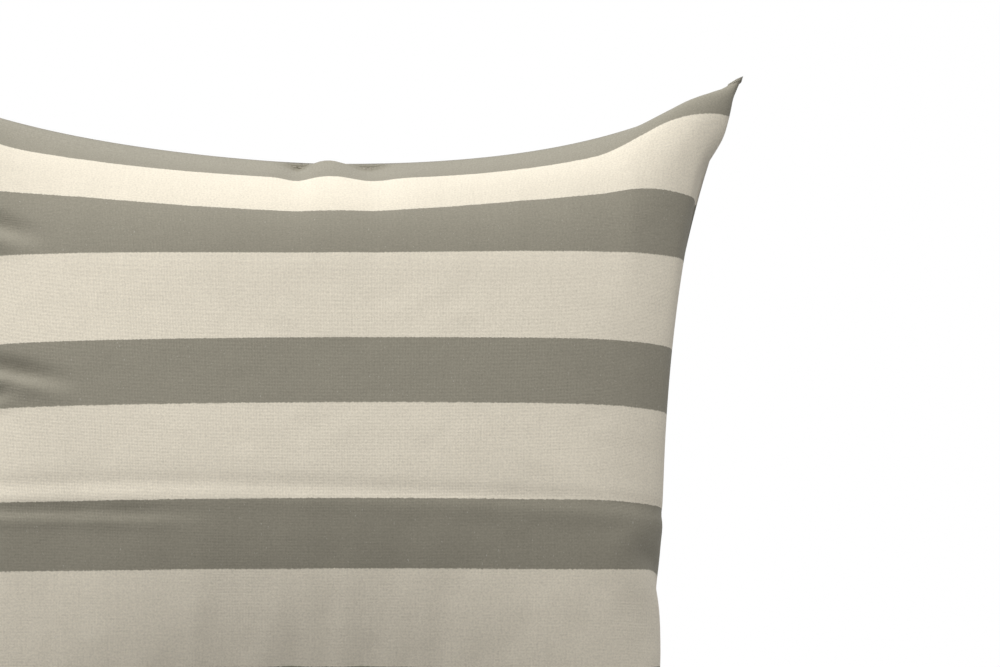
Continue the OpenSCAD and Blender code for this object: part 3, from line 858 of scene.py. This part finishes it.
bars = []
for end in (-1, 1):
    for k in np.linspace(-0.0007, 0.0007, 5):      # close zigzag across the mouth's end
        path = onZip(end * 0.152 + k, np.linspace(-0.0068, 0.0068, 12), 0.0)
        up = np.tile(unit(onZip(end * 0.152, 0, 0.001) - onZip(end * 0.152, 0, 0)), (12, 1))
        bars.append(stitches(path, up, length=0.0133, gap=0.0002, radius=0.0002, lift=0.00022))
threadPiece("zipBartacks", bars, "zip_bartacks", greyThread)


def carried(profile, s0, s1, count):
    # a closed outline (across, out) carried along the zip, with both ends closed
    along = np.linspace(s0, s1, count)
    k = len(profile)
    points = onZip(along[:, None], profile[None, :, 0], profile[None, :, 1])
    number = np.arange(count * k).reshape(count, k)
    ring = np.concatenate([number, number[:, :1]], 1)
    faces = quads(ring).tolist() + [number[0].tolist(), number[-1][::-1].tolist()]
    run = np.r_[0, np.cumsum(np.linalg.norm(np.diff(profile, axis=0), axis=1))]
    uv = np.stack(np.broadcast_arrays(along[:, None], run[None]), -1)
    return points.reshape(-1, 3), faces, uv.reshape(-1, 2)


# a tape: its edges, its top and its underside; a coil: its turns, its wire, its middle and its cord
tape = dict(inner=0.00087, outer=0.0134, top=-0.00106, under=-0.00164, half=0.153)
coil = dict(
    pitch=0.00127, wire=0.00031, first=-0.1458, length=0.29325,
    middle=0.001875, lift=0.000025, reach=0.001, height=0.00075, cord=(0.00038, 0.0003))


def zipTape(word, side):
    # woven tape with a shallow groove beside the coil and another at the selvedge
    inner, outer, top, under = tape["inner"], tape["outer"], tape["top"], tape["under"]
    m = np.array([inner, inner + 0.0004, 0.0034, 0.0036, 0.0042, 0.0044, 0.0122, 0.0124, 0.0130, outer])
    sunk = np.array([2, 0, 0, 1, 1, 0, 0, 1, 0, 2]) * 0.0001
    face = np.stack([m, top - sunk], 1)
    back = [[outer, under + 0.0002], [outer - 0.0003, under], [inner + 0.0003, under], [inner, under + 0.0002]]
    profile = np.concatenate([face, back])
    profile[:, 0] *= side
    points, faces, uv = carried(profile, -tape["half"], tape["half"], 130)
    outwards(newPiece("zipTape" + word, points, faces, uv, tapeWeave,
                      stands=("zip_tape_" + word.lower(),)))


def zipCoil(word, side):
    # a wire round an ellipse as it goes along the zip, on a cord
    pitch, turns = coil["pitch"], int(coil["length"] / coil["pitch"])
    perTurn, around = 12, 5
    t = np.linspace(0, 2 * math.pi * turns, turns * perTurn + 1)
    alongZip = coil["first"] + pitch * t / (2 * math.pi)
    m = side * (coil["middle"] - coil["reach"] * np.cos(t))
    line = onZip(alongZip, m, coil["lift"] + coil["height"] * np.sin(t))
    ahead = unit(np.gradient(line, axis=0))
    core = onZip(alongZip, side * coil["middle"], coil["lift"])
    away = unit(line - core)
    away = unit(away - ahead * (away * ahead).sum(-1, keepdims=True))
    aside = np.cross(ahead, away)
    turn = np.linspace(0, 2 * math.pi, around, endpoint=False)[None, :, None]
    ringPoints = line[:, None] + coil["wire"] * (np.cos(turn) * away[:, None] + np.sin(turn) * aside[:, None])
    number = np.arange(len(line) * around).reshape(len(line), around)
    ring = np.concatenate([number, number[:, :1]], 1)
    ends = [number[0].tolist(), number[-1][::-1].tolist()]
    coilPart = (ringPoints.reshape(-1, 3), quads(ring).tolist() + ends)
    a = np.linspace(0, 2 * math.pi, 8, endpoint=False)
    wide, high = coil["cord"]
    cordProfile = np.stack([side * coil["middle"] + wide * np.cos(a), coil["lift"] + high * np.sin(a)], 1)
    cordPart = carried(cordProfile, coil["first"], coil["first"] + pitch * turns, 130)[:2]
    points, faces = joinAll([coilPart, cordPart])
    outwards(newPiece("zipCoil" + word, points, faces, alongUv(points), coilNylon,
                      stands=("zip_coil_" + word.lower(),)))


for side, word in ((1, "Upper"), (-1, "Lower")):
    zipTape(word, side)
    zipCoil(word, side)
print("zip laid in")


# metal parts: copies of the frame's own shapes with softened edges
def softened(node, name, body, radius):
    mesh = nodes[node].data.copy()
    mesh.name = name
    bm = bmesh.new()
    bm.from_mesh(mesh)
    bmesh.ops.remove_doubles(bm, verts=bm.verts, dist=1e-6)
    bmesh.ops.dissolve_limit(bm, angle_limit=math.radians(0.8), verts=bm.verts, edges=bm.edges)
    bm.to_mesh(mesh)
    bm.free()
    mesh.materials.clear()
    mesh.materials.append(zipPlating)
    mesh.polygons.foreach_set("use_smooth", np.ones(len(mesh.polygons), bool))
    piece = bpy.data.objects.new(name, mesh)
    bpy.context.scene.collection.objects.link(piece)
    bevel = piece.modifiers.new("edges", "BEVEL")
    bevel.width = radius
    bevel.segments = 2
    bevel.limit_method = "ANGLE"
    bevel.angle_limit = math.radians(35)
    bevel.harden_normals = True
    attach(piece, body)
    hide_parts(node)


softened("zip_top_stops", "zipTopStops", "pillow", 0.0003)
softened("zip_bottom_stop", "zipBottomStop", "pillow", 0.0004)
softened("slider_body", "sliderBody", "slider", 0.0002)
softened("pull_tab", "pullTab", "pull", 0.0002)


# the insert: how far it lies inside the cover's seams and middle, its cloth, and how lumpy its fill is
insert = dict(edge=0.0110, deep=0.0045, cloth=0.0005, fill=(0.0008, 0.0009), lump=0.003)


def under(grid, side, rounds=3):
    # beneath the folds of the cover: the least depth around each point, evened out, away from the seams
    rows, cols = grid.shape[:2]
    depth = side * grid[..., 1]
    for _ in range(rounds):
        wide = np.pad(depth, 1, mode="edge")
        depth = np.min([wide[i:i + rows, j:j + cols] for i in range(3) for j in range(3)], axis=0)
    for _ in range(rounds):
        wide = np.pad(depth, 1, mode="edge")
        depth = np.mean([wide[i:i + rows, j:j + cols] for i in range(3) for j in range(3)], axis=0)
    i, j = np.meshgrid(np.arange(rows), np.arange(cols), indexing="ij")
    fromSeam = np.minimum(np.minimum(i, rows - 1 - i), np.minimum(j, cols - 1 - j))
    share = np.clip((fromSeam - 2) / 5, 0, 1)
    lower = grid.copy()
    own = side * grid[..., 1]
    lower[..., 1] = side * (own * (1 - share) + np.minimum(depth, own) * share)
    return lower


frontCoarse, backCoarse = under(frontGrid, -1)[::2, ::2], under(backGrid, 1)[::2, ::2]
m = len(frontCoarse) - 1
clothSmall = np.stack(np.meshgrid(np.linspace(0, 0.5, m + 1), np.linspace(0.5, 0, m + 1)), -1)
number = np.arange((m + 1) ** 2).reshape(m + 1, m + 1)

for side, grid, word in ((-1, frontCoarse, "Front"), (1, backCoarse, "Back")):
    g = inward(grid, insert["edge"], insert["deep"])
    faces = quads(number, side > 0)
    piece = newPiece("insert" + word, g.reshape(-1, 3), faces, clothSmall.reshape(-1, 2), casing,
                     stands=("insert_" + word.lower(),))
    thicken(piece, insert["cloth"])

rng = np.random.default_rng(11)
fillEdge, fillDeep = insert["edge"] + insert["fill"][0], insert["deep"] + insert["fill"][1]
frontFill, backFill = inward(frontCoarse, fillEdge, fillDeep), inward(backCoarse, fillEdge, fillDeep)
lumps = rng.normal(0, 1, (2, m + 1, m + 1))
for _ in range(3):
    around = lumps[:, :-2, 1:-1] + lumps[:, 2:, 1:-1] + lumps[:, 1:-1, :-2] + lumps[:, 1:-1, 2:]
    lumps[:, 1:-1, 1:-1] = around / 4
lumps = np.abs(lumps) / np.abs(lumps).max() * insert["lump"]
edgeFree = np.ones((m + 1, m + 1))
edgeFree[0] = edgeFree[-1] = edgeFree[:, 0] = edgeFree[:, -1] = 0
frontFill[..., 1] += lumps[0] * edgeFree
backFill[..., 1] -= lumps[1] * edgeFree
inner = edgeFree > 0
backNumber = number.copy()
backNumber[inner] = (m + 1) ** 2 + np.arange(inner.sum())
points = np.concatenate([frontFill.reshape(-1, 3), backFill[inner]])
faces = np.concatenate([quads(number), quads(backNumber, True)])
insertFill = newPiece("insertFill", points, faces, None, wadding,
                      stands=("insert_fill",))
insertFill.data.uv_layers.new(name="cloth")
rounded = insertFill.modifiers.new("round", "SUBSURF")
rounded.levels = rounded.render_levels = 1

rows = []
skipped = int(seam["free"] * m / 2)
for b in (frontCoarse[:, 0], frontCoarse[:, -1], frontCoarse[0], frontCoarse[-1]):
    b = evenly(b[skipped:len(b) - skipped], 150)
    a, c = inward(b, insert["edge"] - 0.0006, 0), inward(b, insert["edge"] + 0.0022, 0)
    for k in range(len(b) - 1):          # threads across the edge, leaning one way then the other
        ends = (a[k], c[k]) if k % 2 else (a[k], c[k + 1])
        for side in (-1, 1):
            path = np.linspace(ends[0], ends[1], 3) + np.array([0, side * 0.0002, 0])
            up = np.tile([0, float(side), 0], (3, 1))
            rows.append(stitches(path, up, length=0.0022, gap=0.0002, radius=0.00014, lift=0.0, sides=5))
threadPiece("insertOverlock", rows, "insert_overlock")


# the labels: how much cloth each one takes up, its woven size and its thickness
satin = dict(takes=(0.032, 0.042), size=(0.028, 0.042), cloth=0.0003)


def label(name, col0, col1, row0, row1, edge, deep, node):
    # a small blank satin tape that follows the back
    take = backFine[row0:row1 + 1, col0:col1 + 1]
    g = inward(take, edge, deep)
    number = np.arange(g.shape[0] * g.shape[1]).reshape(g.shape[:2])
    across, down = np.linspace(0, satin["size"][0], g.shape[1]), np.linspace(0, satin["size"][1], g.shape[0])
    uv = np.stack(np.meshgrid(across, down), -1)
    piece = newPiece(name, g.reshape(-1, 3), quads(number, True), uv.reshape(-1, 2), labelSatin,
                     stands=(node,))
    thicken(piece, satin["cloth"])


fineCell = cover["side"] / big
wide, tall = round(satin["takes"][0] / fineCell), round(satin["takes"][1] / fineCell)
middle = big // 2
label("careLabel", 2, 2 + wide, middle - tall, middle, 0.0022, 0.0022, "care_label")
start = middle - tall // 2
label("insertLabel", big - 3 - wide, big - 3, start, start + tall,
      insert["edge"] - 0.0006, insert["deep"] - 0.0006, "insert_label")
print("insert and labels made")


# floor, light and camera
studioLight = dict(ceiling=0.92, below=0.60, fadeLow=-0.2, fadeHigh=0.2, high=0.70, left=0.22, softbox=17.0)
view = dict(lens=97.5, x=0.0017, away=1.4605, height=0.126, right=4.056, up=7.293)


def studio():
    size, low = 20.0, -0.0002
    mesh = bpy.data.meshes.new("studioFloor")
    corners = [(-size, -size, low), (size, -size, low), (size, size, low), (-size, size, low)]
    mesh.from_pydata(corners, [], [(0, 1, 2, 3)])
    floor = bpy.data.objects.new("studioFloor", mesh)
    bpy.context.scene.collection.objects.link(floor)
    material = bpy.data.materials.new("paleFloor")
    material.use_nodes = True
    tree = material.node_tree
    shader = tree.nodes["Principled BSDF"]
    place = tree.nodes.new("ShaderNodeTexCoord").outputs["Object"]
    tone = ramp(tree, noiseOf(tree, place, 6.0, 3.0), 0.3, 0.7, 0.80, 0.83)
    tree.links.new(gray(tree, tone), shader.inputs["Base Color"])
    shader.inputs["Roughness"].default_value = 0.9
    mesh.materials.append(material)
    floor.visible_diffuse = False

    # a soft bright ceiling that fades to the floor, stronger from the left, on a white ground
    world = bpy.data.worlds.new("studio")
    bpy.context.scene.world = world
    world.use_nodes = True
    tree = world.node_tree
    tree.nodes.clear()
    place = tree.nodes.new("ShaderNodeTexCoord").outputs["Generated"]
    split = tree.nodes.new("ShaderNodeSeparateXYZ")
    tree.links.new(place, split.inputs[0])
    fadeLow, fadeHigh = studioLight["fadeLow"], studioLight["fadeHigh"]
    up = ramp(tree, split.outputs[2], fadeLow, fadeHigh, studioLight["below"], 1.0)
    up = sums(tree, "MULTIPLY", up, sums(tree, "MULTIPLY_ADD", split.outputs[2], studioLight["high"], 1.0))
    left = sums(tree, "MULTIPLY_ADD", split.outputs[0], -studioLight["left"], 1.0)
    strength = sums(tree, "MULTIPLY", sums(tree, "MULTIPLY", up, left), studioLight["ceiling"])
    soft = tree.nodes.new("ShaderNodeBackground")
    tree.links.new(strength, soft.inputs["Strength"])
    plain = tree.nodes.new("ShaderNodeBackground")
    plain.inputs["Color"].default_value = (1, 1, 1, 1)
    plain.inputs["Strength"].default_value = 1.0
    either = tree.nodes.new("ShaderNodeMixShader")
    tree.links.new(tree.nodes.new("ShaderNodeLightPath").outputs["Is Camera Ray"], either.inputs[0])
    tree.links.new(soft.outputs[0], either.inputs[1])
    tree.links.new(plain.outputs[0], either.inputs[2])
    out = tree.nodes.new("ShaderNodeOutputWorld")
    tree.links.new(either.outputs[0], out.inputs["Surface"])

    lamp = bpy.data.lights.new("softbox", "AREA")
    lamp.shape = "RECTANGLE"
    lamp.size, lamp.size_y = 1.2, 0.9
    lamp.energy = studioLight["softbox"]
    softbox = bpy.data.objects.new("softbox", lamp)
    bpy.context.scene.collection.objects.link(softbox)
    softbox.location = (-0.6, -0.5, 2.0)
    softbox.rotation_euler = (math.radians(20), 0, math.radians(-50))

    eye = bpy.data.cameras.new("camera")
    eye.lens, eye.sensor_width = view["lens"], 36
    eye.clip_start = 0.05
    camera = bpy.data.objects.new("camera", eye)
    bpy.context.scene.collection.objects.link(camera)
    camera.location = (view["x"], -view["away"], view["height"])
    camera.rotation_euler = (math.radians(90 + view["up"]), 0, math.radians(-view["right"]))
    bpy.context.scene.camera = camera
    bpy.context.scene.view_settings.view_transform = "Standard"
    bpy.context.scene.view_settings.look = "None"


studio()
print("studio set")
